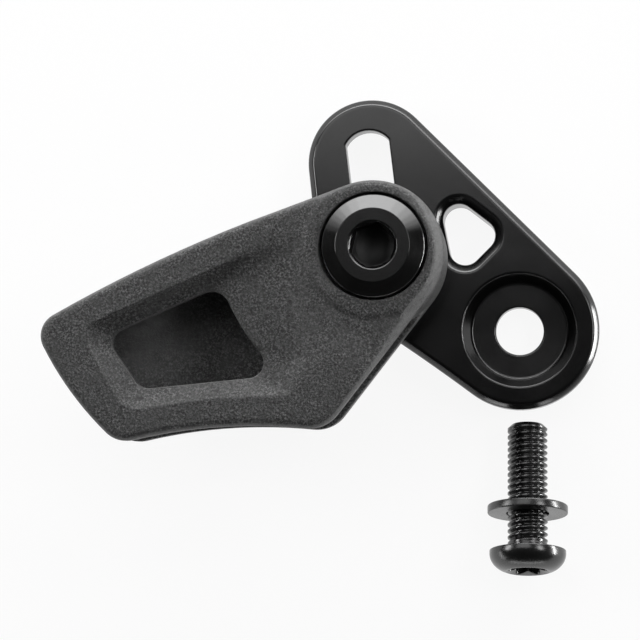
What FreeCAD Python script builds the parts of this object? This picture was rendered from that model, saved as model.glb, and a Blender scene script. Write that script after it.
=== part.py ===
import FreeCAD, Part
import math
import os

os.makedirs("parts", exist_ok=True)

# Sizes in millimetres, angles in degrees.
# Origin: the axis of the frame-screw hole where it meets the plate's back face.
# +X runs forward on the bicycle, +Y up, +Z outboard, away from the frame.

# Main sizes, from the frame hole: the guide's reach to the rear and the plate's rise
guide_reach = 58.2
plate_rise = 29.27

# Fasteners, both of one thread size
thread_dia = 5.0
thread_play = 0.05
shank_play = 0.3
end_chamfer = 0.5

# Backplate
plate_thick = 6.0
plate_bevel = 0.75
plate_back_break = 0.3
frame_hole_dia = 6.0
frame_lobe_radius = 9.95
counterbore_floor_dia = 12.1
counterbore_mouth_dia = 14.2
counterbore_depth = 3.0

# Guide bolt's place on the plate, and the slot that it slides in
bolt_x = -17.33
bolt_y = 9.55
slot_lean = 6.8
slot_width = 5.5
slot_end_wall = 4.0
slot_end_radius = 3.3
slot_corner_radius = 0.5
slot_below_bolt = 2.0
slot_lobe_radius = 8.0
slot_lobe_x = -18.55

# Hidden corner of the plate, behind the guide
heel_x = -19.2
heel_y = 8.4
heel_radius = 6.0
plate_hollow_radius = 260.0

# Lightening window of the plate, a triangle with round corners
window_corner_radius = 2.0
window_top_x = -7.5
window_top_y = 13.95
window_right_x = -5.0
window_right_y = 12.0
window_low_x = -6.75
window_low_y = 10.25
window_chamfer = 1.0

# Slot nut with round ends, and the channel for it in the plate's back
nut_width = 8.0
nut_length = 10.0
nut_thick = 2.8
nut_sink = 0.4
nut_side_play = 0.2
nut_channel_extra = 1.0

# Guide: one moulding with two walls, a spine along the top and a boss
guide_depth = 12.5
rear_wall = 2.5
front_wall = 2.4
spine_thick = 3.0
boss_radius = 8.72
boss_from_bolt_x = -0.25
boss_from_bolt_y = -0.65
boss_ring_radius = 8.7
boss_ring_spread = 3.0
face_round = 1.0
rear_break = 0.5
tip_y = -1.05
tip_radius = 2.9
top_edge_radius = 180.0
boss_rise = 0.3
left_edge_radius = 40.0
low_left_from_end = 10.6
low_left_y = -10.4
low_left_radius = 3.5
low_right_from_bolt = 7.9
low_right_y = -8.1
low_right_radius = 4.35
chainring_radius = 65.0
chain_run_top_y = 1.25

# Sloped pocket in the front wall, and the window at its bottom
pocket_depth = 1.4
pocket_tip_from_end = 7.45
pocket_tip_y = -1.2
pocket_tip_radius = 1.5
pocket_low_from_end = 12.9
pocket_low_y = -6.8
pocket_low_radius = 3.2
pocket_right_from_bolt = 10.57
pocket_right_y = -3.5
pocket_right_radius = 5.0
pocket_top_from_bolt = 8.9
pocket_top_y = 9.45
pocket_top_radius = 1.5
pocket_hollow_radius = 90.0
light_tip_from_end = 10.66
light_tip_y = -2.0
light_tip_radius = 1.8
light_low_from_end = 13.3
light_low_y = -5.6
light_low_radius = 1.9
light_right_from_bolt = 15.37
light_right_y = -4.4
light_right_radius = 1.9
light_top_from_bolt = 19.87
light_top_y = 1.95
light_top_radius = 2.3
light_hollow_radius = 25.0

# Guide bolt: a low wide head with a coned edge and a hexagon socket
bolt_head_dia = 12.55
bolt_head_rim = 2.1
bolt_flat_dia = 8.95
bolt_cone_height = 1.4
bolt_pocket_play = 0.3
bolt_pocket_depth = 2.0
hex_across_flats = 5.0
hex_depth = 2.7
hex_turn = 16.7
hex_chamfer_dia = 5.95
hex_drill_angle = 120.0

# Frame screw: a button head with a six-lobe socket
screw_length = 16.0
screw_head_dia = 9.5
screw_head_height = 2.75
screw_head_edge = 0.4
screw_crown_dia = 4.0
screw_dome_steps = 5
lobe_count = 6
lobe_socket_dia = 4.9
lobe_tip_radius = 0.55
lobe_valley_radius = 0.75
lobe_socket_depth = 1.8

# Washer on the frame screw's shank
washer_dia = 10.0
washer_play = 0.15
washer_thick = 1.0

# Where the loose frame screw lies
screw_x = 0.9
screw_gap = 1.45
washer_from_head = 4.6

thread_radius = thread_dia / 2.0
half_turn = 180.0
right_angle = 90.0
up = FreeCAD.Vector(0, 0, 1)
origin = FreeCAD.Vector(0, 0, 0)


def spot(x, y):
    return FreeCAD.Vector(x, y, 0)


def polar(length, angle):
    turn = math.radians(angle)
    return FreeCAD.Vector(length * math.cos(turn), length * math.sin(turn), 0)


def heading(vector):
    return math.degrees(math.atan2(vector.y, vector.x))


def along(start, towards, length):
    direction = FreeCAD.Vector(towards - start)
    direction.normalize()
    return start + direction * length


def raised(shape, height):
    return shape.translated(up * height)


def arc_about(centre, start, end):
    """Arc from start to end, anticlockwise about the centre."""
    radius = (start - centre).Length
    first = heading(start - centre)
    sweep = (heading(end - centre) - first) % (2.0 * half_turn)
    middle = centre + polar(radius, first + sweep / 2.0)
    return Part.Arc(start, middle, end).toShape()


def arc_between(centre, start, end):
    """The shorter arc between two points of a circle."""
    radius = (start - centre).Length
    middle = along(centre, (start + end) * 0.5, radius)
    return Part.Arc(start, middle, end).toShape()


def tangent_line(first, second):
    """Outer tangent on the right-hand side of two wheels."""
    gap = second[0] - first[0]
    lean = math.degrees(math.acos((first[1] - second[1]) / gap.Length))
    normal = heading(gap) - lean
    start = first[0] + polar(first[1], normal)
    end = second[0] + polar(second[1], normal)
    return start, end, Part.LineSegment(start, end).toShape()


def bend_centre(first, second, reach_first, reach_second, side):
    """Point at given distances from two wheel centres."""
    gap = second[0] - first[0]
    forward = (reach_first ** 2 - reach_second ** 2 + gap.Length ** 2) / (2.0 * gap.Length)
    sideways = math.sqrt(reach_first ** 2 - forward ** 2)
    outward = heading(gap) - right_angle
    return along(first[0], second[0], forward) + polar(side * sideways, outward)


def hollow_edge(first, second, radius):
    """Arc that curves inward, tangent to both wheels."""
    centre = bend_centre(first, second, radius + first[1], radius + second[1], 1.0)
    start = along(first[0], centre, first[1])
    end = along(second[0], centre, second[1])
    return start, end, arc_between(centre, start, end)


def bulged_edge(first, second, radius):
    """Arc that curves outward, tangent to both wheels."""
    centre = bend_centre(first, second, radius - first[1], radius - second[1], -1.0)
    start = along(centre, first[0], radius)
    end = along(centre, second[0], radius)
    return start, end, arc_between(centre, start, end)


def meeting(first, second):
    """Point where a small wheel touches the inside of a large one."""
    point = along(first[0], second[0], first[1])
    return point, point, None


def straight():
    return tangent_line


def hollow(radius):
    return lambda first, second: hollow_edge(first, second, radius)


def bulged(radius):
    return lambda first, second: bulged_edge(first, second, radius)


def belt(wheels, edges):
    """Closed outline round a ring of wheels, anticlockwise, with one edge after each wheel."""
    count = len(wheels)
    joins = []
    for index in range(count):
        joins.append(edges[index](wheels[index], wheels[(index + 1) % count]))
    pieces = []
    for index in range(count):
        arrive = joins[index - 1][1]
        leave = joins[index][0]
        pieces.append(arc_about(wheels[index][0], arrive, leave))
        if joins[index][2] is not None:
            pieces.append(joins[index][2])
    return Part.Wire(pieces)


def racetrack(start, end, radius):
    return belt([(start, radius), (end, radius)], [straight(), straight()])


def prism(wire, low, high):
    return raised(Part.Face(wire), low).extrude(up * (high - low))


def rod(centre, radius, low, high):
    return Part.makeCylinder(radius, high - low, centre + up * low)


def edges_at(shape, height):
    slack = 1e-4
    found = []
    for edge in shape.Edges:
        box = edge.BoundBox
        if abs(box.ZMin - height) < slack and abs(box.ZMax - height) < slack:
            found.append(edge)
    return found


def turned(points):
    """Solid of revolution about Z from radius and height pairs."""
    corners = [FreeCAD.Vector(radius, 0, height) for radius, height in points]
    corners.append(corners[0])
    return Part.Face(Part.makePolygon(corners)).revolve(origin, up, 2.0 * half_turn)


def keep(name, solid):
    solid.exportStep("parts/" + name + ".step")


# Places on the slot's line
bolt_at = spot(bolt_x, bolt_y)
slot_heading = right_angle + slot_lean
slot_lobe_y = plate_rise - slot_lobe_radius
slot_reach = (plate_rise - slot_end_wall - bolt_y) / math.cos(math.radians(slot_lean))
slot_top = bolt_at + polar(slot_reach - slot_width / 2.0, slot_heading)
slot_bottom = bolt_at - polar(slot_below_bolt, slot_heading)
nut_channel_roof = nut_sink + nut_thick


def window_outline(radius):
    corners = [(spot(window_right_x, window_right_y), radius)]
    corners.append((spot(window_top_x, window_top_y), radius))
    corners.append((spot(window_low_x, window_low_y), radius))
    return belt(corners, [straight()] * len(corners))


def window_tool():
    """Plate window: straight through, with a chamfer at the front face."""
    inner = window_outline(window_corner_radius)
    outer = window_outline(window_corner_radius + window_chamfer)
    start = plate_thick - window_chamfer
    flare = Part.makeLoft([raised(inner, start), raised(outer, plate_thick)], True, True)
    return prism(inner, 0.0, start).fuse(flare)


def frame_hole_tool():
    """Hole for the frame screw, with a coned recess for its head and washer."""
    floor = plate_thick - counterbore_depth
    floor_radius = counterbore_floor_dia / 2.0
    mouth_radius = counterbore_mouth_dia / 2.0
    recess = Part.makeCone(floor_radius, mouth_radius, counterbore_depth, up * floor)
    return recess.fuse(rod(origin, frame_hole_dia / 2.0, 0.0, floor))


def slot_outline():
    """Slot with a round lower end and a shallow upper end between small corners."""
    aside = slot_width / 2.0 - slot_corner_radius
    rise = math.sqrt((slot_end_radius - slot_corner_radius) ** 2 - aside ** 2)
    corner_line = bolt_at + polar(slot_reach - slot_end_radius + rise, slot_heading)
    across = polar(aside, slot_lean)
    wheels = [(slot_bottom, slot_width / 2.0)]
    wheels.append((corner_line + across, slot_corner_radius))
    wheels.append((corner_line - across, slot_corner_radius))
    return belt(wheels, [straight(), bulged(slot_end_radius), straight()])


def slot_tool():
    """Slot for the guide bolt, with a wider channel for the nut in the back."""
    slot = prism(slot_outline(), nut_channel_roof, plate_thick)
    extra = polar(nut_channel_extra, slot_heading)
    channel = racetrack(slot_bottom - extra, slot_top + extra, nut_width / 2.0 + nut_side_play)
    return slot.fuse(prism(channel, 0.0, nut_channel_roof))


def make_backplate():
    lobes = [(origin, frame_lobe_radius)]
    lobes.append((spot(slot_lobe_x, slot_lobe_y), slot_lobe_radius))
    lobes.append((spot(heel_x, heel_y), heel_radius))
    plate = prism(belt(lobes, [straight(), straight(), hollow(plate_hollow_radius)]), 0.0, plate_thick)
    plate = plate.makeChamfer(plate_bevel, edges_at(plate, plate_thick))
    plate = plate.makeChamfer(plate_back_break, edges_at(plate, 0.0))
    for tool in [window_tool(), frame_hole_tool(), slot_tool()]:
        plate = plate.cut(tool)
    return plate


guide_low = plate_thick
guide_high = plate_thick + guide_depth
channel_low = guide_low + rear_wall
channel_high = guide_high - front_wall
pocket_floor = guide_high - pocket_depth
far_end_x = -guide_reach
tip = (spot(far_end_x + tip_radius, tip_y), tip_radius)
boss = (bolt_at + spot(boss_from_bolt_x, boss_from_bolt_y), boss_radius)
to_boss = top_edge_radius + boss_rise - boss_radius
brow = (bend_centre(boss, tip, to_boss, top_edge_radius - tip_radius, -1.0), top_edge_radius)


def pocket_tool():
    """Sloped pocket from the front face down to the window in the wall."""
    outer = [(spot(bolt_x - pocket_right_from_bolt, pocket_right_y), pocket_right_radius)]
    outer.append((spot(bolt_x - pocket_top_from_bolt, pocket_top_y), pocket_top_radius))
    outer.append((spot(far_end_x + pocket_tip_from_end, pocket_tip_y), pocket_tip_radius))
    outer.append((spot(far_end_x + pocket_low_from_end, pocket_low_y), pocket_low_radius))
    inner = [(spot(bolt_x - light_right_from_bolt, light_right_y), light_right_radius)]
    inner.append((spot(bolt_x - light_top_from_bolt, light_top_y), light_top_radius))
    inner.append((spot(far_end_x + light_tip_from_end, light_tip_y), light_tip_radius))
    inner.append((spot(far_end_x + light_low_from_end, light_low_y), light_low_radius))
    mouth = belt(outer, [straight(), straight(), straight(), hollow(pocket_hollow_radius)])
    window = belt(inner, [hollow(light_hollow_radius), straight(), straight(), straight()])
    slopes = Part.makeLoft([raised(window, pocket_floor), raised(mouth, guide_high)], True, True)
    foot = bolt_at + up * pocket_floor
    ring = Part.makeCone(boss_ring_radius + boss_ring_spread, boss_ring_radius, pocket_depth, foot)
    return slopes.cut(ring).fuse(prism(window, channel_high, pocket_floor))


def channel_tool():
    """Room for the chain between the walls: under the spine, and under the boss where the chain runs out."""
    under_spine = rod(brow[0], top_edge_radius - spine_thick, channel_low, channel_high)
    post = rod(boss[0], boss_radius, channel_low, channel_high)
    corner = boss[0] - spot(boss_radius, 2.0 * boss_radius) + up * channel_low
    run_height = chain_run_top_y - corner.y
    run_out = Part.makeBox(2.0 * boss_radius, run_height, channel_high - channel_low, corner)
    return under_spine.cut(post.cut(run_out))


def make_guide():
    low_left = (spot(far_end_x + low_left_from_end, low_left_y), low_left_radius)
    low_right = (spot(bolt_x - low_right_from_bolt, low_right_y), low_right_radius)
    wheels = [boss, brow, tip, low_left, low_right]
    edges = [straight(), meeting, bulged(left_edge_radius), hollow(chainring_radius), straight()]
    body = prism(belt(wheels, edges), guide_low, guide_high)
    body = body.makeFillet(face_round, edges_at(body, guide_high))
    body = body.makeChamfer(rear_break, edges_at(body, guide_low))
    body = body.cut(channel_tool())
    body = body.cut(pocket_tool())
    seat = guide_high - bolt_pocket_depth
    body = body.cut(rod(bolt_at, bolt_head_dia / 2.0 + bolt_pocket_play, seat, guide_high))
    return body.cut(rod(bolt_at, thread_radius + shank_play, guide_low, guide_high))


def hexagon_socket(top):
    corner_radius = hex_across_flats / math.sqrt(3.0)
    sides = 6
    corners = [polar(corner_radius, hex_turn + index * 2.0 * half_turn / sides) for index in range(sides)]
    corners.append(corners[0])
    socket = prism(Part.makePolygon(corners), top - hex_depth, top)
    drill_depth = hex_across_flats / 2.0 / math.tan(math.radians(hex_drill_angle / 2.0))
    drill = Part.makeCone(0.0, hex_across_flats / 2.0, drill_depth, up * (top - hex_depth - drill_depth))
    lead = hex_chamfer_dia / 2.0 - hex_across_flats / 2.0
    mouth = Part.makeCone(hex_across_flats / 2.0, hex_chamfer_dia / 2.0, lead, up * (top - lead))
    return socket.fuse(drill).fuse(mouth)


def make_guide_bolt():
    seat = guide_high - bolt_pocket_depth
    rim_top = seat + bolt_head_rim
    top = rim_top + bolt_cone_height
    end = nut_sink
    profile = [(0.0, end), (thread_radius - end_chamfer, end), (thread_radius, end + end_chamfer)]
    profile += [(thread_radius, seat), (bolt_head_dia / 2.0, seat), (bolt_head_dia / 2.0, rim_top)]
    profile += [(bolt_flat_dia / 2.0, top), (0.0, top)]
    return turned(profile).cut(hexagon_socket(top)).translated(bolt_at)


def make_slot_nut():
    end_radius = nut_width / 2.0
    half_run = polar(nut_length / 2.0 - end_radius, slot_heading)
    nut = prism(racetrack(bolt_at - half_run, bolt_at + half_run, end_radius), nut_sink, nut_channel_roof)
    return nut.cut(rod(bolt_at, thread_radius + thread_play, nut_sink, nut_channel_roof))


def lobe_socket(top):
    """Six-lobe socket: round lobes joined by hollow valleys."""
    ring = lobe_socket_dia / 2.0 - lobe_tip_radius
    step = 2.0 * half_turn / lobe_count
    wheels = [(polar(ring, index * step), lobe_tip_radius) for index in range(lobe_count)]
    star = belt(wheels, [hollow(lobe_valley_radius)] * lobe_count)
    return prism(star, top - lobe_socket_depth, top)


def make_frame_screw():
    """Frame screw standing on its head's underside, shank down; the dome is a quarter of an oval."""
    half_head = screw_head_dia / 2.0
    rise = screw_head_height - screw_head_edge
    reach = half_head - screw_crown_dia / 2.0
    profile = [(0.0, -screw_length), (thread_radius - end_chamfer, -screw_length)]
    profile += [(thread_radius, end_chamfer - screw_length), (thread_radius, 0.0), (half_head, 0.0)]
    for step in range(screw_dome_steps + 1):
        turn = math.radians(right_angle * step / screw_dome_steps)
        out = half_head - reach * (1.0 - math.cos(turn))
        profile.append((out, screw_head_edge + rise * math.sin(turn)))
    profile.append((0.0, screw_head_height))
    return turned(profile).cut(lobe_socket(screw_head_height))


def make_washer():
    """Washer round the standing screw's shank, resting on it from above once it lies down."""
    disc = rod(origin, washer_dia / 2.0, 0.0, washer_thick)
    disc = disc.cut(rod(origin, thread_radius + washer_play, 0.0, washer_thick))
    drop = spot(0, washer_play)
    return raised(disc, -washer_from_head - washer_thick).translated(drop)


def lie_down(shape):
    """Lay the screw on its washer's rim and the end of its shank, head raised."""
    lift = washer_dia / 2.0 - washer_play - thread_radius
    run = screw_length - end_chamfer - washer_from_head - washer_thick
    slope = math.degrees(math.atan2(lift, run))
    lying = shape.copy()
    lying.rotate(origin, FreeCAD.Vector(1, 0, 0), right_angle - slope)
    return lying


screw = lie_down(make_frame_screw())
washer = lie_down(make_washer())
screw_tip_y = -frame_lobe_radius - screw_gap
settle = FreeCAD.Vector(screw_x, screw_tip_y - screw.BoundBox.YMax, -screw.BoundBox.ZMin)

keep("backplate", make_backplate())
keep("chain_guide", make_guide())
keep("guide_bolt", make_guide_bolt())
keep("slot_nut", make_slot_nut())
keep("frame_screw", screw.translated(settle))
keep("frame_washer", washer.translated(settle))
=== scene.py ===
import math

import bmesh
import bpy
import numpy as np
from mathutils import Matrix, Vector


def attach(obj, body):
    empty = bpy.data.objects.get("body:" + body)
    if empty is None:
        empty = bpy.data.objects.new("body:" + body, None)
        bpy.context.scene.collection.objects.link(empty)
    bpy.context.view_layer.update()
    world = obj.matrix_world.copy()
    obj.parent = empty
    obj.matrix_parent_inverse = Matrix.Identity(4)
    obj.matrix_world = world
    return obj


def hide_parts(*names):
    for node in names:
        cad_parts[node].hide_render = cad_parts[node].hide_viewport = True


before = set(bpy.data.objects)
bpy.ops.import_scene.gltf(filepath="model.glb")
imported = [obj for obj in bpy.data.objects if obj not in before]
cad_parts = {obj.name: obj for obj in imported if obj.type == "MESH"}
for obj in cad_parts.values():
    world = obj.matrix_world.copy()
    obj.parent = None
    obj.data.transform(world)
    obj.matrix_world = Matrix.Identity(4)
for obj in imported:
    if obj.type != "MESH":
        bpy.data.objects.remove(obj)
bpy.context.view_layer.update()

# Sizes and places are in millimetres on the frame's own axes; meshes are scaled to metres at the end

MM = 0.001
scene = bpy.context.scene
scene.view_settings.view_transform = "Standard"


# Outlines: rings of wheels joined by straight, hollow or bulged edges

straight_steps = 8
bend_steps = 12
corner_steps = 3
corner_share = 0.45


def pairs(*values):
    return [Vector(value) for value in values]


def polar(length, angle):
    return Vector((length * math.cos(angle), length * math.sin(angle)))


def heading(vector):
    return math.atan2(vector.y, vector.x)


def circle(radius, count):
    return [polar(radius, 2 * math.pi * step / count) for step in range(count)]


def tangent(first, second):
    """Ends of the straight edge that touches two wheels, each a centre and a radius."""
    gap = second[0] - first[0]
    normal = heading(gap) - math.acos((first[1] - second[1]) / gap.length)
    return first[0] + polar(first[1], normal), second[0] + polar(second[1], normal), None


def bent(first, second, radius, side):
    """Ends and centre of a round edge between two wheels: hollow for side 1, bulged for side -1."""
    gap = second[0] - first[0]
    reach_first, reach_second = radius + side * first[1], radius + side * second[1]
    forward = (reach_first ** 2 - reach_second ** 2 + gap.length ** 2) / (2 * gap.length)
    sideways = math.sqrt(reach_first ** 2 - forward ** 2)
    centre = first[0] + gap.normalized() * forward + polar(sideways, heading(gap) - side * math.pi / 2)
    start = first[0] + (centre - first[0]).normalized() * side * first[1]
    end = second[0] + (centre - second[0]).normalized() * side * second[1]
    return start, end, centre


def arc_points(centre, start, end, count, shorter=False):
    """Points along an arc, anticlockwise unless the shorter way is asked for."""
    radius = (start - centre).length
    first = heading(start - centre)
    sweep = (heading(end - centre) - first) % (2 * math.pi)
    if shorter and sweep > math.pi:
        sweep -= 2 * math.pi
    return [centre + polar(radius, first + sweep * step / count) for step in range(count + 1)]


def belt(wheels, bends, count):
    """Points round a ring of wheels, anticlockwise; edges are hollow (+), bulged (-) or straight (0)."""
    joins = []
    for index, wheel in enumerate(wheels):
        following = wheels[(index + 1) % len(wheels)]
        bend = bends[index]
        if bend == 0:
            joins.append(tangent(wheel, following))
        else:
            joins.append(bent(wheel, following, abs(bend), math.copysign(1, bend)))
    points = []
    for index, wheel in enumerate(wheels):
        points += arc_points(wheel[0], joins[index - 1][1], joins[index][0], count)
        start, end, centre = joins[index]
        if centre is None:
            between = [start.lerp(end, step / straight_steps) for step in range(straight_steps + 1)]
        else:
            between = arc_points(centre, start, end, bend_steps, True)
        points += between[1:-1]
    return points


def eased(corners, reach):
    """Line with its inner corners rounded by short curves, each within a share of its two sides."""
    line = [corners[0]]
    for before, corner, after in zip(corners, corners[1:], corners[2:]):
        back, ahead = before - corner, after - corner
        start = corner + back.normalized() * min(reach, back.length * corner_share)
        end = corner + ahead.normalized() * min(reach, ahead.length * corner_share)
        for step in range(corner_steps + 1):
            t = step / corner_steps
            line.append(start * (1 - t) ** 2 + corner * (2 * t * (1 - t)) + end * t ** 2)
    line.append(corners[-1])
    return line


# Sizes of the backplate

plate_top = 6.0
edge_break = 0.26
flat_margin = 0.3
back_bevel = 0.3
front_bevel = 0.75
frame_lobe = (Vector((0, 0)), 9.95)
slot_lobe = (Vector((-18.55, 21.27)), 8.0)
hidden_lobe = (Vector((-19.2, 8.4)), 6.0)
hidden_edge_radius = 260.0
window_corners = pairs((-5.0, 12.0), (-7.5, 13.95), (-6.75, 10.25))
window_radius = 2.0
window_bevel = 1.0
hole_radius = 3.0
seat_height = 3.0
seat_radius = 6.05
recess_radius = 7.1
lobe_steps = 40
window_steps = 16
slot_steps = 24
hole_steps = 96

# Slot for the guide bolt, with a channel behind it for the nut

bolt_at = Vector((-17.33, 9.55))
slot_turn = math.radians(96.8)
slot_reach = 15.831
slot_drop = 2.0
slot_half_width = 2.75
slot_corner = 0.5
slot_end_radius = 3.3
channel_radius = 4.2
channel_depth = 3.2
channel_play = 1.0

# Thread that the bolt and the screw share

thread_radius = 2.5
thread_pitch = 0.8
thread_rows = 12
crest_level = 1.35
flank_slope = 3.1

# Guide bolt

bolt_steps = 96
bolt_sharp = 22
bolt_end = 0.4
bolt_seat = 16.5
bolt_rim_top = 18.6
bolt_top = 20.0
bolt_head_radius = 6.275
bolt_flat_radius = 4.475
bolt_flat_middle = 3.4
bolt_flat_hold = 0.095
bolt_cone_steps = (0.05, 0.5, 0.85)
bolt_cone_easing = 0.04
bolt_rim_easing = 0.18
bolt_shank_length = 1.0
bolt_thread_low = 1.0
bolt_thread_high = 9.0
bolt_thread_root = 2.12
bolt_tail = pairs((2.45, 0.85), (2.0, 0.4))
hex_across = 5.0
hex_depth = 2.7
hex_mouth_radius = 2.975
hex_mouth_hold = 0.125
hex_mouth_bevel = 0.175
hex_mouth_easing = 0.08
hex_cone = 1.03
hex_drill_radius = 2.2
hex_drill_depth = 1.35
hex_turn = math.radians(-13.3)
hex_dull_height = 17.6
hex_dull_radius = 3.3

# Slot nut

nut_steps = 64
nut_half_length = 5.0
nut_radius = 4.0
nut_low, nut_high = 0.4, 3.2
nut_margin = 0.4
nut_easing = 0.2
nut_bore = 2.55
nut_mouth = 2.95
nut_bore_bevel = 0.25
nut_bore_easing = 0.05

# Frame screw and washer, lying on the washer's rim and the end of the shank

screw_at = (0.9, -27.43, 6.0135)
screw_steps = 120
screw_length = 16.0
screw_end_bevel = 0.5
screw_thread_root = 2.06
screw_thread_high = -0.7
screw_neck = 0.4
screw_neck_easing = 0.12
screw_head_radius = 4.75
screw_head_edge = 0.4
screw_dome_rise = 2.34
screw_crown_radius = 2.0
screw_dome_steps = 20
lobe_mouth_radius = 2.7
lobe_count = 6
lobe_root, lobe_tip = 1.72, 2.42
lobe_power = 0.85
lobe_cone = 0.42
lobe_depth = 1.75
lobe_drill_radius = 1.5
lobe_drill_depth = 0.5
washer_steps = 96
washer_radius = 5.0
washer_middle = 4.0
washer_play = 0.15
washer_thick = 1.0
washer_from_head = 4.6
washer_easing = 0.16

washer_low = -washer_from_head - washer_thick
screw_lift = washer_radius - washer_play - thread_radius
screw_run = screw_length - screw_end_bevel + washer_low
screw_lean = math.atan2(screw_lift, screw_run)
lying = Matrix.Translation(screw_at) @ Matrix.Rotation(math.pi / 2 - screw_lean, 4, "X")


# Mesh building

merge_distance = 1e-5
usual_sharp = 40


def ring(bm, points, height):
    return [bm.verts.new((point.x, point.y, height)) for point in points]


def swept(bm, outline, profile):
    """Rings along a profile of (size, height) steps, each ring the outline at that size."""
    return [ring(bm, outline(size), height) for size, height in profile]


def turned(bm, profile, count):
    """Round rings along a profile of (radius, height) steps."""
    return [ring(bm, circle(radius, count), height) for radius, height in profile]


def tube(bm, rings):
    """Skin of four-sided faces from each ring to the next."""
    for first, second in zip(rings, rings[1:]):
        for index in range(len(first)):
            after = (index + 1) % len(first)
            bm.faces.new((first[index], first[after], second[after], second[index]))


def close(bm, loop, tip):
    """Fan from a ring to one point."""
    centre = bm.verts.new(tip)
    for index in range(len(loop)):
        bm.faces.new((loop[index], loop[(index + 1) % len(loop)], centre))


def cap(bm, loops):
    """Flat face between an outline and the holes in it."""
    edges = []
    for loop in loops:
        for index in range(len(loop)):
            pair = (loop[index], loop[(index + 1) % len(loop)])
            edges.append(bm.edges.get(pair) or bm.edges.new(pair))
    bmesh.ops.triangle_fill(bm, use_beauty=True, use_dissolve=False, edges=edges)


def smooth(mesh):
    mesh.polygons.foreach_set("use_smooth", [True] * len(mesh.polygons))


def piece(name, bm, body, material, stands_for, place=None, sharp=usual_sharp):
    """Object from a finished mesh, with its finish and the body that it rides on."""
    bmesh.ops.remove_doubles(bm, verts=bm.verts, dist=merge_distance)
    bmesh.ops.recalc_face_normals(bm, faces=bm.faces)
    mesh = bpy.data.meshes.new(name)
    bm.to_mesh(mesh)
    bm.free()
    if place is not None:
        mesh.transform(place)
    mesh.transform(Matrix.Scale(MM, 4))
    smooth(mesh)
    mesh.set_sharp_from_angle(angle=math.radians(sharp))
    mesh.materials.append(material)
    obj = bpy.data.objects.new(name, mesh)
    scene.collection.objects.link(obj)
    weighted = obj.modifiers.new("face_weights", "WEIGHTED_NORMAL")
    weighted.keep_sharp = True
    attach(obj, body)
    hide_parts(stands_for)


# Materials: every one is worked out from the object's own coordinates

noise_range = (0.3, 0.7)
wear_range = (0.35, 0.7)
least_wear = 0.1
metal_lean = (0.55, 0.93)
off_face_lean = (0.79, 0.7)
off_wall_lean = (0.15, 0.35)
bevel_samples = 6
mix_first, mix_second, mix_result = 6, 7, 2


def rgba(colour):
    """Four-part colour from one grey or from red, green and blue."""
    return (*colour, 1) if isinstance(colour, tuple) else (colour, colour, colour, 1)


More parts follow.
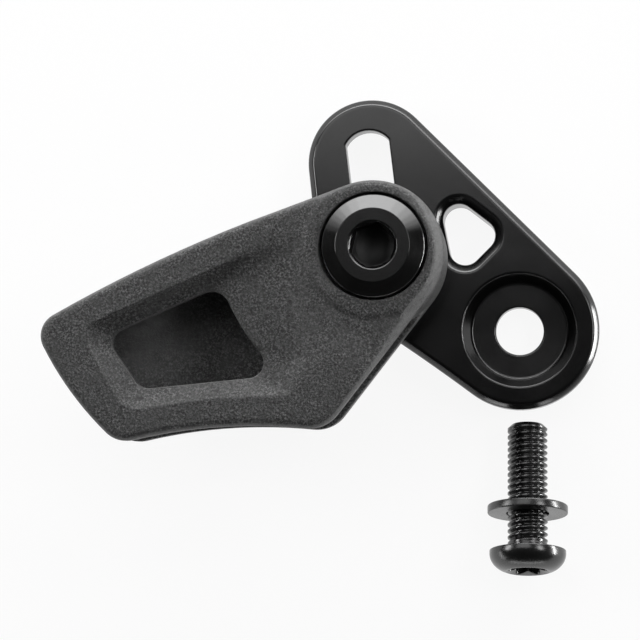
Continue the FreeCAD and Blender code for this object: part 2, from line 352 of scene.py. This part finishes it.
class Finish:
    """Small helper that strings shader nodes together."""

    def __init__(self, name):
        self.material = bpy.data.materials.new(name)
        self.material.use_nodes = True
        self.tree = self.material.node_tree
        self.shader = self.tree.nodes["Principled BSDF"]
        self.place = self.node("ShaderNodeTexCoord").outputs["Object"]

    def node(self, kind, **settings):
        made = self.tree.nodes.new(kind)
        for key, value in settings.items():
            setattr(made, key, value)
        return made

    def link(self, start, end):
        self.tree.links.new(start, end)

    def noise(self, size, detail, roughness=0.5, distortion=0.0):
        made = self.node("ShaderNodeTexNoise")
        made.inputs["Scale"].default_value = 1 / (size * MM)
        made.inputs["Detail"].default_value = detail
        made.inputs["Roughness"].default_value = roughness
        made.inputs["Distortion"].default_value = distortion
        self.link(self.place, made.inputs["Vector"])
        return made.outputs["Fac"]

    def cell_borders(self, size):
        """Distance from the borders of a pattern of cells."""
        made = self.node("ShaderNodeTexVoronoi", feature="DISTANCE_TO_EDGE")
        made.inputs["Scale"].default_value = 1 / (size * MM)
        self.link(self.place, made.inputs["Vector"])
        return made.outputs["Distance"]

    def span(self, value, low, high, to_low, to_high):
        made = self.node("ShaderNodeMapRange")
        for key, number in zip(("From Min", "From Max", "To Min", "To Max"), (low, high, to_low, to_high)):
            made.inputs[key].default_value = number
        self.link(value, made.inputs["Value"])
        return made.outputs["Result"]

    def vary(self, noise, low, high):
        """Noise stretched so that its usual range runs from low to high."""
        return self.span(noise, *noise_range, low, high)

    def both(self, operation, first, second):
        made = self.node("ShaderNodeMath", operation=operation)
        self.link(first, made.inputs[0])
        self.link(second, made.inputs[1])
        return made.outputs[0]

    def add(self, first, second):
        return self.both("ADD", first, second)

    def times(self, first, second):
        return self.both("MULTIPLY", first, second)

    def ramp(self, value, *stops):
        made = self.node("ShaderNodeValToRGB")
        steps = made.color_ramp.elements
        while len(steps) < len(stops):
            steps.new(0.5)
        for step, (where, colour) in zip(steps, stops):
            step.position = where
            step.color = rgba(colour)
        self.link(value, made.inputs["Fac"])
        return made.outputs["Color"]

    def tint(self, noise, first, second):
        """Colour that runs from first to second over the noise's usual range."""
        return self.ramp(noise, (noise_range[0], first), (noise_range[1], second))

    def blend(self, factor, first, second):
        """First where the factor is 0 and second where it is 1; second may be a plain colour."""
        made = self.node("ShaderNodeMix", data_type="RGBA")
        self.link(factor, made.inputs["Factor"])
        self.link(first, made.inputs[mix_first])
        if isinstance(second, (float, tuple)):
            made.inputs[mix_second].default_value = rgba(second)
        else:
            self.link(second, made.inputs[mix_second])
        return made.outputs[mix_result]

    def edges(self, radius, low, high):
        """Mask that is 1 on worn edges, from how far the rounded normal leans off the face."""
        rounded = self.node("ShaderNodeBevel", samples=bevel_samples)
        rounded.inputs["Radius"].default_value = radius * MM
        lean = self.node("ShaderNodeVectorMath", operation="DOT_PRODUCT")
        self.link(rounded.outputs["Normal"], lean.inputs[0])
        self.link(self.node("ShaderNodeNewGeometry").outputs["Normal"], lean.inputs[1])
        return self.span(lean.outputs["Value"], high, low, 0.0, 1.0)

    def metal_wear(self, radius, patch, most):
        """Mask of a metal piece's worn edges, broken up into patches of one size."""
        patches = self.span(self.noise(patch, 4), *wear_range, least_wear, most)
        return self.times(self.edges(radius, *metal_lean), patches)

    def rims(self):
        """Mask that is 1 where the skin leans well over, as on an outer rim, and patchy there; what it
        lightens is partly wear and partly a painted highlight.
        """
        split = self.node("ShaderNodeSeparateXYZ")
        self.link(self.node("ShaderNodeNewGeometry").outputs["Normal"], split.inputs[0])
        off_face = self.span(split.outputs["Z"], *off_face_lean, 0.0, 1.0)
        off_wall = self.span(split.outputs["Z"], *off_wall_lean, 0.0, 1.0)
        patches = self.vary(self.noise(0.9, 4, roughness=0.6), 0.3, 0.85)
        return self.times(self.times(off_face, off_wall), patches)

    def ball(self, centre, radius, fade=0.1):
        """Mask that is 1 inside a ball and fades below its skin."""
        away = self.node("ShaderNodeVectorMath", operation="DISTANCE")
        self.link(self.place, away.inputs[0])
        away.inputs[1].default_value = Vector(centre) * MM
        return self.span(away.outputs["Value"], radius * MM, (radius - fade) * MM, 0.0, 1.0)

    def bump(self, height, strength, depth, normal=None):
        made = self.node("ShaderNodeBump")
        made.inputs["Strength"].default_value = strength
        made.inputs["Distance"].default_value = depth * MM
        self.link(height, made.inputs["Height"])
        if normal is not None:
            self.link(normal, made.inputs["Normal"])
        return made.outputs["Normal"]

    def put(self, **values):
        """Set the shader's sockets: numbers directly, anything else by a link."""
        names = {"colour": "Base Color", "rough": "Roughness", "normal": "Normal", "metal": "Metallic"}
        names["level"] = "Specular IOR Level"
        for key, value in values.items():
            socket = self.shader.inputs[names[key]]
            if isinstance(value, float):
                socket.default_value = value
            else:
                self.link(value, socket)
        return self.material


def anodised_black():
    """Glossy near black, paler on worn edges, where the paler grey is partly a painted highlight, and on
    the recess's floor, where it is a painted sheen.
    """
    f = Finish("anodised_black")
    black, paler_black = (0.0015, 0.0015, 0.0016), (0.0024, 0.0024, 0.0026)
    painted_sheen_black, worn_and_highlight_edge = (0.0135, 0.0135, 0.0138), (0.1, 0.1, 0.102)
    painted_light_at, painted_light_radius = (0, 0, seat_height), seat_radius + 0.05
    cloud = f.noise(6.0, 3)
    grit = f.noise(0.12, 2)
    colour = f.tint(cloud, black, paler_black)
    # Painted sheen: the recess's floor is made paler where a reflection would brighten it
    painted_light_mask = f.times(f.ball(painted_light_at, painted_light_radius), f.vary(f.noise(3.0, 3), 0.6, 1.0))
    colour = f.blend(painted_light_mask, colour, painted_sheen_black)
    # Edge grey: partly wear, partly a painted highlight along the bevels
    colour = f.blend(f.metal_wear(radius=0.12, patch=1.6, most=0.8), colour, worn_and_highlight_edge)
    rough = f.add(f.vary(cloud, 0.17, 0.22), f.vary(grit, -0.015, 0.015))
    normal = f.bump(grit, strength=0.25, depth=0.006)
    return f.put(colour=colour, rough=rough, normal=normal, level=0.75)


def moulded_black():
    """Moulded plastic with a speckled grain, lighter where its outer rim leans over, partly as wear and
    partly as a painted highlight, and with a painted pool of light in one soft patch at its far end.
    """
    f = Finish("moulded_black")
    # Place, size and fade of a painted pool of light on the far wall seen through the window
    painted_light_at, painted_light_radius, painted_light_fade = (-46.0, 1.0, 8.5), 8.5, 7.5
    pit_grey, edge_grey, rim_wear_and_highlight_grey, painted_light_grey = 0.012, 0.11, 0.115, 0.16
    speck = f.noise(0.26, 4, roughness=0.75)
    grain = f.noise(0.5, 5, roughness=0.65, distortion=0.8)
    cloud = f.noise(7.0, 4, roughness=0.6)
    creases = f.span(f.cell_borders(0.6), 0.0, 0.14, 0.0, 1.0)
    colour = f.ramp(speck, (0.36, 0.008), (0.5, 0.043), (0.64, 0.15))
    plain_patches = f.span(f.noise(2.4, 3, roughness=0.6), 0.38, 0.62, 0.0, 0.55)
    colour = f.blend(plain_patches, colour, f.tint(cloud, 0.036, 0.058))
    pits = f.span(f.noise(0.5, 2), 0.58, 0.68, 0.0, 0.7)
    colour = f.blend(pits, colour, pit_grey)
    worn_patches = f.vary(f.noise(0.8, 5, roughness=0.6), 0.15, 0.75)
    worn = f.times(f.edges(radius=0.5, low=0.6, high=0.97), worn_patches)
    colour = f.blend(worn, colour, edge_grey)
    # Outer rim lighter: partly wear, partly a painted highlight
    colour = f.blend(f.rims(), colour, rim_wear_and_highlight_grey)
    # Painted pool of light on the far wall behind the window
    painted_light_mask = f.times(f.ball(painted_light_at, painted_light_radius, painted_light_fade), f.vary(f.noise(1.5, 4), 0.55, 1.0))
    colour = f.blend(painted_light_mask, colour, painted_light_grey)
    rough = f.add(f.vary(grain, 0.46, 0.58), f.vary(speck, -0.06, 0.06))
    normal = f.bump(creases, strength=0.3, depth=0.03)
    normal = f.bump(grain, strength=1.0, depth=0.065, normal=normal)
    normal = f.bump(speck, strength=1.0, depth=0.045, normal=normal)
    return f.put(colour=colour, rough=rough, normal=normal, level=0.3)


def black_steel(name, tone, rough_low, rough_high, edge_grey, punched=None):
    """Blackened steel; inside the ball given by punched, a socket left dull by its punch."""
    f = Finish(name)
    bright_level, dull_level, dull_rough = 0.8, 0.35, 0.4
    cloud = f.noise(2.5, 4)
    grit = f.noise(0.08, 2)
    paler_tone = tone * 1.5
    colour = f.tint(cloud, tone, paler_tone)
    colour = f.blend(f.metal_wear(radius=0.1, patch=0.9, most=0.9), colour, edge_grey)
    rough = f.add(f.vary(cloud, rough_low, rough_high), f.vary(grit, -0.02, 0.02))
    f.put(level=bright_level)
    if punched is not None:
        dull = f.ball(*punched)
        rough = f.add(rough, f.span(dull, 0.0, 1.0, 0.0, dull_rough))
        f.put(level=f.span(dull, 0.0, 1.0, bright_level, dull_level))
    return f.put(colour=colour, rough=rough, normal=f.bump(grit, strength=0.2, depth=0.004))


def plain_steel():
    """Bare pressed steel of the nut."""
    f = Finish("nut_steel")
    cloud = f.noise(2.0, 4)
    grit = f.noise(0.1, 2)
    colour = f.tint(cloud, (0.32, 0.32, 0.33), (0.42, 0.42, 0.43))
    rough = f.add(f.vary(cloud, 0.32, 0.42), f.vary(grit, -0.03, 0.03))
    normal = f.bump(grit, strength=0.3, depth=0.006)
    return f.put(colour=colour, rough=rough, normal=normal, metal=0.9)


hex_dull = ((bolt_at.x, bolt_at.y, hex_dull_height), hex_dull_radius)
plate_finish = anodised_black()
guide_finish = moulded_black()
bolt_finish = black_steel("bolt_black", 0.002, 0.12, 0.15, 0.06, hex_dull)
screw_finish = black_steel("screw_black", 0.0035, 0.2, 0.28, 0.07)
washer_finish = black_steel("washer_black", 0.0035, 0.24, 0.32, 0.07)
nut_finish = plain_steel()


# Backplate: outline, slot, window and coned recess, with broken edges

def plate_outline(inset):
    wheels = [(centre, radius - inset) for centre, radius in (frame_lobe, slot_lobe, hidden_lobe)]
    return belt(wheels, [0, 0, hidden_edge_radius + inset], lobe_steps)


def window_outline(radius):
    return belt([(corner, radius) for corner in window_corners], [0, 0, 0], window_steps)


def slot_outline(grow):
    """Slot with a round lower end and a shallow upper end between small corners."""
    aside = slot_half_width - slot_corner
    rise = math.sqrt((slot_end_radius - slot_corner) ** 2 - aside ** 2)
    upper = bolt_at + polar(slot_reach - slot_end_radius + rise, slot_turn)
    across = polar(aside, slot_turn - math.pi / 2)
    wheels = [(bolt_at - polar(slot_drop, slot_turn), slot_half_width + grow)]
    wheels += [(upper + across, slot_corner + grow), (upper - across, slot_corner + grow)]
    return belt(wheels, [0, -slot_end_radius - grow, 0], slot_steps)


def channel_outline(radius):
    top = bolt_at + polar(slot_reach - slot_half_width + channel_play, slot_turn)
    bottom = bolt_at - polar(slot_drop + channel_play, slot_turn)
    return belt([(top, radius), (bottom, radius)], [0, 0], slot_steps)


def build_plate():
    """Each profile runs from back to front, and begins and ends with a flat margin."""
    bm = bmesh.new()
    profile = pairs((back_bevel + flat_margin, 0), (back_bevel, 0), (0, back_bevel))
    profile += pairs((0, plate_top - front_bevel), (front_bevel, plate_top))
    profile += pairs((front_bevel + flat_margin, plate_top))
    rim = swept(bm, plate_outline, eased(profile, edge_break))
    front_radius = window_radius + window_bevel
    profile = pairs((window_radius + flat_margin, 0), (window_radius, 0))
    profile += pairs((window_radius, plate_top - window_bevel), (front_radius, plate_top))
    profile += pairs((front_radius + flat_margin, plate_top))
    window = swept(bm, window_outline, eased(profile, edge_break))
    profile = pairs((channel_radius + flat_margin, 0), (channel_radius, 0))
    profile += pairs((channel_radius, channel_depth), (channel_radius - flat_margin, channel_depth))
    channel = swept(bm, channel_outline, eased(profile, edge_break))
    profile = pairs((flat_margin, channel_depth), (0, channel_depth))
    profile += pairs((0, plate_top), (flat_margin, plate_top))
    slot = swept(bm, slot_outline, eased(profile, edge_break))
    profile = pairs((hole_radius + flat_margin, 0), (hole_radius, 0), (hole_radius, seat_height))
    profile += pairs((seat_radius, seat_height), (recess_radius, plate_top))
    profile += pairs((recess_radius + flat_margin, plate_top))
    hole = turned(bm, eased(profile, edge_break), hole_steps)
    for rings in (rim, window, channel, slot, hole):
        tube(bm, rings)
    cap(bm, [rings[0] for rings in (rim, window, channel, hole)])
    cap(bm, [rings[-1] for rings in (rim, window, slot, hole)])
    cap(bm, [channel[-1], slot[0]])
    piece("plate_body", bm, "plate", plate_finish, "backplate")


# Sockets and threads

lip_share, lip_drop = 0.985, 0.06
floor_share, floor_drop, drill_drop = 0.95, 0.04, 0.06


def hexagon_radius(angle):
    side = math.pi / 3
    return hex_across / 2 / math.cos((angle + side / 2) % side - side / 2)


def lobe_radius(angle):
    """Rounded lobes of the screw's socket."""
    wave = (1 + math.cos(lobe_count * angle)) / 2
    return lobe_root + (lobe_tip - lobe_root) * wave ** lobe_power


def socket(bm, mouth, mouth_radius, mouth_height, radius_at, cone, depth, drill):
    """Socket below a round mouth: coned lead-in, walls, floor and a round drill point."""
    count = len(mouth)
    drill_radius, drill_depth = drill
    angles = [2 * math.pi * step / count for step in range(count)]
    lead = [polar(radius_at(angle), angle) for angle in angles]
    heights = [mouth_height - (mouth_radius - point.length) * cone for point in lead]
    bottom = mouth_height - depth
    walls = [point * lip_share for point in lead]
    brim = [bm.verts.new((point.x, point.y, z)) for point, z in zip(lead, heights)]
    lip = [bm.verts.new((point.x, point.y, z - lip_drop)) for point, z in zip(walls, heights)]
    foot = ring(bm, walls, bottom)
    floor = ring(bm, [point * floor_share for point in lead], bottom - floor_drop)
    drilled = ring(bm, circle(drill_radius, count), bottom - drill_drop)
    tube(bm, [mouth, brim, lip, foot, floor, drilled])
    close(bm, drilled, (0, 0, bottom - drill_depth))


def thread_rings(bm, low, high, root, count):
    """Rings of a screw thread whose ends run out into the shank."""
    rows = int((high - low) / thread_pitch * thread_rows)
    rings = []
    for row in range(rows + 1):
        z = low + (high - low) * row / rows
        fade = max(0.0, min(1.0, (z - low) / thread_pitch, (high - z) / thread_pitch))
        points = []
        for step in range(count):
            turn = step / count
            phase = (z / thread_pitch - turn) % 1.0
            crest = min(1.0, max(0.0, crest_level - abs(phase - 0.5) * flank_slope))
            radius = thread_radius - (thread_radius - root) * (1 - crest) * fade
            points.append(polar(radius, 2 * math.pi * turn))
        rings.append(ring(bm, points, z))
    return rings


# Guide bolt: turned head with a hexagon socket, threaded end

def build_bolt():
    """The steps close to each edge of the flat and the cone hold their shading even."""
    bm = bmesh.new()
    flat_edge, rim = pairs((bolt_flat_radius, bolt_top), (bolt_head_radius, bolt_rim_top))
    upper_hold, half_down, lower_hold = [flat_edge.lerp(rim, share) for share in bolt_cone_steps]
    flat = pairs((bolt_flat_middle, bolt_top), (bolt_flat_radius - bolt_flat_hold, bolt_top), flat_edge)
    upper = eased(flat + [upper_hold, half_down], bolt_cone_easing)
    side = [half_down, lower_hold, rim] + pairs((bolt_head_radius, bolt_seat))
    shank = pairs((thread_radius, bolt_seat), (thread_radius, bolt_seat - bolt_shank_length))
    lower = eased(side + shank, bolt_rim_easing)
    head = turned(bm, upper + lower[1:], bolt_steps)
    inner = pairs((bolt_flat_middle, bolt_top), (hex_mouth_radius + hex_mouth_hold, bolt_top))
    inner += pairs((hex_mouth_radius, bolt_top))
    inner += pairs((hex_mouth_radius - hex_mouth_bevel, bolt_top - hex_mouth_bevel))
    mouth_line = eased(inner, hex_mouth_easing)[1:-1]
    mouth = turned(bm, mouth_line, bolt_steps)
    screw = thread_rings(bm, bolt_thread_low, bolt_thread_high, bolt_thread_root, bolt_steps)
    tail = turned(bm, bolt_tail, bolt_steps)
    tube(bm, mouth[::-1] + head + screw[::-1] + tail)
    close(bm, tail[-1], (0, 0, bolt_end))
    mouth_radius, mouth_height = mouth_line[-1]
    drill = (hex_drill_radius, hex_drill_depth)
    socket(bm, mouth[-1], mouth_radius, mouth_height, hexagon_radius, hex_cone, hex_depth, drill)
    place = Matrix.Translation((bolt_at.x, bolt_at.y, 0)) @ Matrix.Rotation(hex_turn, 4, "Z")
    piece("guide_bolt_turned", bm, "clamp", bolt_finish, "guide_bolt", place, bolt_sharp)


# Slot nut: round ends and a bevelled bore

def nut_outline(radius):
    half_run = polar(nut_half_length - nut_radius, slot_turn)
    return belt([(bolt_at + half_run, radius), (bolt_at - half_run, radius)], [0, 0], slot_steps)


def nut_bore_outline(radius):
    return [bolt_at + point for point in circle(radius, nut_steps)]


def build_nut():
    bm = bmesh.new()
    inner_radius = nut_radius - nut_margin
    sides = pairs((inner_radius, nut_low), (nut_radius, nut_low))
    sides += pairs((nut_radius, nut_high), (inner_radius, nut_high))
    rim = swept(bm, nut_outline, eased(sides, nut_easing))
    bore = pairs((nut_mouth, nut_high), (nut_bore, nut_high - nut_bore_bevel))
    bore += pairs((nut_bore, nut_low + nut_bore_bevel), (nut_mouth, nut_low))
    hole = swept(bm, nut_bore_outline, eased(bore, nut_bore_easing))
    tube(bm, rim)
    tube(bm, hole)
    cap(bm, [rim[0], hole[-1]])
    cap(bm, [rim[-1], hole[0]])
    piece("slot_nut_pressed", bm, "clamp", nut_finish, "slot_nut")


# Frame screw and washer, lying on the floor beside the plate

def build_screw():
    bm = bmesh.new()
    reach = screw_head_radius - screw_crown_radius
    last_turn = math.acos((lobe_mouth_radius - screw_crown_radius) / reach)
    dome = []
    for step in range(1, screw_dome_steps + 1):
        bow = polar(1.0, last_turn * step / screw_dome_steps)
        dome.append(Vector((screw_crown_radius + reach * bow.x, screw_head_edge + screw_dome_rise * bow.y)))
    under = pairs((thread_radius, -screw_neck), (thread_radius, 0))
    under += pairs((screw_head_radius, 0), (screw_head_radius, screw_head_edge))
    head = turned(bm, eased(under, screw_neck_easing) + dome, screw_steps)
    thread_low = screw_end_bevel - screw_length
    screw = thread_rings(bm, thread_low, screw_thread_high, screw_thread_root, screw_steps)
    tip = ring(bm, circle(thread_radius - screw_end_bevel, screw_steps), -screw_length)
    tube(bm, [tip] + screw + head)
    close(bm, tip, (0, 0, -screw_length))
    drill = (lobe_drill_radius, lobe_drill_depth)
    socket(bm, head[-1], lobe_mouth_radius, dome[-1].y, lobe_radius, lobe_cone, lobe_depth, drill)
    piece("frame_screw_threaded", bm, "plate", screw_finish, "frame_screw", lying)


def build_washer():
    bm = bmesh.new()
    bore = thread_radius + washer_play
    low, high = washer_low, -washer_from_head
    corners = pairs((washer_middle, low), (washer_radius, low), (washer_radius, high))
    corners += pairs((bore, high), (bore, low), (washer_middle, low))
    tube(bm, turned(bm, eased(corners, washer_easing), washer_steps))
    place = lying @ Matrix.Translation((0, washer_play, 0))
    piece("frame_washer_stamped", bm, "plate", washer_finish, "frame_washer", place)


# Guide: the solid's skin made over as a soft-edged moulding

skin_grid = 0.13
kept_share = 0.26
first_softening = 0.5
no_length = 1e-9

# Moves of the pocket's brim: start and end of a line, shift beside it, reach of the move
brim_low, brim_blend = 16.8, 0.4
brim_moves = (
    ((-52.1, -3.0), (-47.1, -9.3), (-0.39, -0.31), 2.4),
    ((-51.7, -0.3), (-32.6, 8.2), (-0.18, 0.41), 1.9),
    ((-24.4, -6.6), (-24.4, -6.6), (-1.35, 1.2), 4.4),
)

# Stretch beside the boss where the pocket flattens out
calm_at, calm_radius, calm_low = (-27.8, 6.5), 8.0, 16.6
calm_gain, calm_weight, calm_rounds = 1.6, 0.6, 190

# Shallow dip round the boss
dip_depth, dip_low = 0.26, 17.4
dip_start, dip_start_blend = 8.0, 1.1
dip_end, dip_end_blend = 10.5, 5.0

# Slanted rim along the boss and the straight edge below it
boss_wheel = (bolt_at + Vector((-0.25, -0.65)), 8.72)
corner_wheel = (Vector((-25.23, -8.1)), 4.35)
rim_width, rim_fall = 1.25, 0.85
rim_low, rim_low_blend = 15.6, 2.0
rim_run, rim_run_blend = 2.0, 13.0
rim_turn, rim_side, rim_side_blend = 0.2, 0.3, 0.5


def eased_step(value):
    value = np.clip(value, 0.0, 1.0)
    return value * value * (3.0 - 2.0 * value)


def remade(obj, kind, **settings):
    """Replace an object's mesh by what one modifier makes of it."""
    modifier = obj.modifiers.new("remade", kind)
    for key, value in settings.items():
        setattr(modifier, key, value)
    mesh = bpy.data.meshes.new_from_object(obj.evaluated_get(bpy.context.evaluated_depsgraph_get()))
    obj.modifiers.clear()
    obj.data = mesh
    return mesh


def soften(place, ends, weight, rounds):
    """Draw each point towards the mean of its neighbours by its weight, for some rounds."""
    count = len(place)
    degree = np.bincount(ends.ravel(), minlength=count)
    for _ in range(rounds):
        for axis in range(3):
            column = place[:, axis]
            total = np.bincount(ends[:, 0], column[ends[:, 1]], count)
            total += np.bincount(ends[:, 1], column[ends[:, 0]], count)
            place[:, axis] = column + weight * (total / degree - column)


def move_brim(place, start, end, shift, reach):
    """Draw the pocket's brim sideways beside a line, less and less out to the reach."""
    run = np.array(end) - np.array(start)
    aside = place[:, :2] - np.array(start)
    along = np.clip(aside @ run / max(run @ run, no_length), 0.0, 1.0)
    away = np.linalg.norm(aside - np.outer(along, run), axis=1)
    weight = eased_step(1.0 - away / reach) * eased_step((place[:, 2] - brim_low) / brim_blend)
    place[:, :2] += np.outer(weight, shift)


def calm_weights(place):
    away = np.hypot(place[:, 0] - calm_at[0], place[:, 1] - calm_at[1])
    near = eased_step((1.0 - away / calm_radius) * calm_gain)
    return calm_weight * near * (place[:, 2] > calm_low)


def sink_collar(place):
    """Shallow dip of the front face round the boss."""
    away = np.hypot(place[:, 0] - bolt_at.x, place[:, 1] - bolt_at.y)
    dip = eased_step((away - dip_start) / dip_start_blend)
    dip *= 1.0 - eased_step((away - dip_end) / dip_end_blend)
    place[:, 2] -= dip_depth * dip * (place[:, 2] > dip_low)


def slant_rim(place):
    """Slope along the boss's right side and on down the straight edge, where it fades out."""
    boss, boss_radius = boss_wheel
    corner, leaving, _ = tangent(corner_wheel, boss_wheel)
    aside = place[:, :2] - np.array(boss)
    run = aside @ np.array((corner - leaving).normalized())
    beside = aside @ np.array((leaving - boss).normalized())
    out = np.where(run > 0, beside, np.hypot(aside[:, 0], aside[:, 1]))
    facing = np.cos(np.arctan2(aside[:, 1], aside[:, 0]) + rim_turn)
    round_boss = eased_step((facing - rim_side) / rim_side_blend)
    share = np.where(run > 0, 1.0 - eased_step((run - rim_run) / rim_run_blend), round_boss)
    share *= eased_step((place[:, 2] - rim_low) / rim_low_blend)
    place[:, 2] -= rim_fall * np.clip(rim_width - boss_radius + out, 0.0, rim_width) * share


def build_guide():
    obj = bpy.data.objects.new("guide_moulding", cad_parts["chain_guide"].data.copy())
    scene.collection.objects.link(obj)
    mesh = remade(obj, "REMESH", mode="VOXEL", voxel_size=skin_grid * MM)
    place = np.empty(len(mesh.vertices) * 3)
    mesh.vertices.foreach_get("co", place)
    place = place.reshape(-1, 3) / MM
    ends = np.empty(len(mesh.edges) * 2, dtype=np.int32)
    mesh.edges.foreach_get("vertices", ends)
    ends = ends.reshape(-1, 2)
    for move in brim_moves:
        move_brim(place, *move)
    soften(place, ends, first_softening, 1)
    soften(place, ends, calm_weights(place), calm_rounds)
    sink_collar(place)
    slant_rim(place)
    mesh.vertices.foreach_set("co", (place * MM).ravel())
    mesh.update()
    mesh = remade(obj, "DECIMATE", ratio=kept_share)
    smooth(mesh)
    mesh.materials.clear()
    mesh.materials.append(guide_finish)
    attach(obj, "guide")
    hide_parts("chain_guide")


build_plate()
build_guide()
build_bolt()
build_nut()
build_screw()
build_washer()


# Studio: pale floor, soft lamps, a world that is pale at the horizon only

floor_radius = 4000
floor_height = -0.02
floor_steps = 96
floor_grey = 0.86
floor_white_share = 0.91
horizon_light, upper_light, horizon_height = 0.85, 0.03, 0.05


def joined(tree, operation, first, second):
    """Math node on two sockets, or on a socket and a number."""
    made = tree.nodes.new("ShaderNodeMath")
    made.operation = operation
    tree.links.new(first, made.inputs[0])
    if isinstance(second, float):
        made.inputs[1].default_value = second
    else:
        tree.links.new(second, made.inputs[1])
    return made.outputs[0]


def floor_material():
    """Matte floor that keeps the shadow and shows mostly white to the camera and in reflections."""
    material = bpy.data.materials.new("studio_white")
    material.use_nodes = True
    tree = material.node_tree
    matte = tree.nodes["Principled BSDF"]
    matte.inputs["Base Color"].default_value = rgba(floor_grey)
    matte.inputs["Roughness"].default_value = 0.9
    matte.inputs["Specular IOR Level"].default_value = 0.1
    glow = tree.nodes.new("ShaderNodeEmission")
    path = tree.nodes.new("ShaderNodeLightPath").outputs
    seen = joined(tree, "MAXIMUM", path["Is Camera Ray"], path["Is Glossy Ray"])
    seen = joined(tree, "MAXIMUM", seen, path["Is Transmission Ray"])
    mix = tree.nodes.new("ShaderNodeMixShader")
    tree.links.new(joined(tree, "MULTIPLY", seen, floor_white_share), mix.inputs["Fac"])
    tree.links.new(matte.outputs[0], mix.inputs[1])
    tree.links.new(glow.outputs[0], mix.inputs[2])
    tree.links.new(mix.outputs[0], tree.nodes["Material Output"].inputs["Surface"])
    return material


def studio_floor():
    bm = bmesh.new()
    bm.faces.new(ring(bm, circle(floor_radius, floor_steps), floor_height))
    mesh = bpy.data.meshes.new("studio_floor")
    bm.to_mesh(mesh)
    bm.free()
    mesh.transform(Matrix.Scale(MM, 4))
    floor = bpy.data.objects.new("studio_floor", mesh)
    scene.collection.objects.link(floor)
    mesh.materials.append(floor_material())


def lamp(name, place, target, width, height, power):
    """Soft rectangular lamp that shines from a place towards a target."""
    data = bpy.data.lights.new(name, "AREA")
    data.shape = "RECTANGLE"
    data.size = width * MM
    data.size_y = height * MM
    data.energy = power
    obj = bpy.data.objects.new(name, data)
    start, end = Vector(place) * MM, Vector(target) * MM
    obj.location = start
    obj.rotation_mode = "QUATERNION"
    obj.rotation_quaternion = (end - start).to_track_quat("-Z", "Y")
    obj.visible_camera = False
    scene.collection.objects.link(obj)


def key_lamps():
    """Key light as lamps of growing width behind each other, so that it fades out to both sides."""
    first, gap, target = Vector((-20, 420, 136)), Vector((0, 2, 0)), (-25, 0, 8)
    height = 220
    widths = (340, 560, 780, 1000, 1250, 1550, 2000)
    powers = (0.2, 0.48, 0.74, 0.8, 0.72, 0.6, 0.5)
    for step, (width, power) in enumerate(zip(widths, powers)):
        lamp("top_key_%d" % step, first + gap * step, target, width, height, power)


def studio_world():
    world = bpy.data.worlds.new("studio_world")
    scene.world = world
    world.use_nodes = True
    tree = world.node_tree
    place = tree.nodes.new("ShaderNodeTexCoord")
    split = tree.nodes.new("ShaderNodeSeparateXYZ")
    fade = tree.nodes.new("ShaderNodeMapRange")
    fade.inputs["From Min"].default_value = 0.0
    fade.inputs["From Max"].default_value = horizon_height
    fade.inputs["To Min"].default_value = horizon_light
    fade.inputs["To Max"].default_value = upper_light
    tree.links.new(place.outputs["Generated"], split.inputs[0])
    tree.links.new(split.outputs["Z"], fade.inputs["Value"])
    tree.links.new(fade.outputs[0], tree.nodes["Background"].inputs["Strength"])
    tree.nodes["Background"].inputs["Color"].default_value = rgba(1.0)


studio_floor()
studio_world()
key_lamps()

# Other lamps: name, place, target, width, height, power
lamp("upper_left_sheen", (-95, 191, 380), (-95, 190, 0), 310, 240, 0.4)
lamp("bolt_sheen", (-45, 42, 380), (-45, 41, 0), 36, 34, 0.00078)
lamp("left_low", (-285, 55, 160), (-45, 0, 12), 140, 80, 0.33)
lamp("right_low", (150, 190, 200), (-45, 0, 12), 140, 80, 0.15)
lamp("right_high", (235, 60, 290), (5, 0, 5), 150, 100, 0.3)
lamp("right_strip", (300, -5, 19), (5, -2, 6), 220, 38, 0.83)
lamp("left_strip", (-290, -150, 14), (-30, -5, 10), 220, 30, 0.1)
lamp("front_strip", (-10, -300, 14), (-10, 0, 6), 300, 26, 0.1)


# Camera where the photograph was taken from

eye, aim = Vector((4.709, -16.677, 306.0)), Vector((-25.0, 1.375, 6.0))
forward = (aim - eye).normalized()
right = forward.cross(Vector((0, 1, 0))).normalized()
upward = right.cross(forward)
camera_data = bpy.data.cameras.new("camera")
camera_data.lens = 135.0
camera_data.sensor_width = 36.0
camera_data.clip_start = 0.01
camera_data.clip_end = 10.0
camera = bpy.data.objects.new("camera", camera_data)
turn = Matrix((right, upward, -forward)).transposed().to_4x4()
camera.matrix_world = Matrix.Translation(eye * MM) @ turn
scene.collection.objects.link(camera)
scene.camera = camera
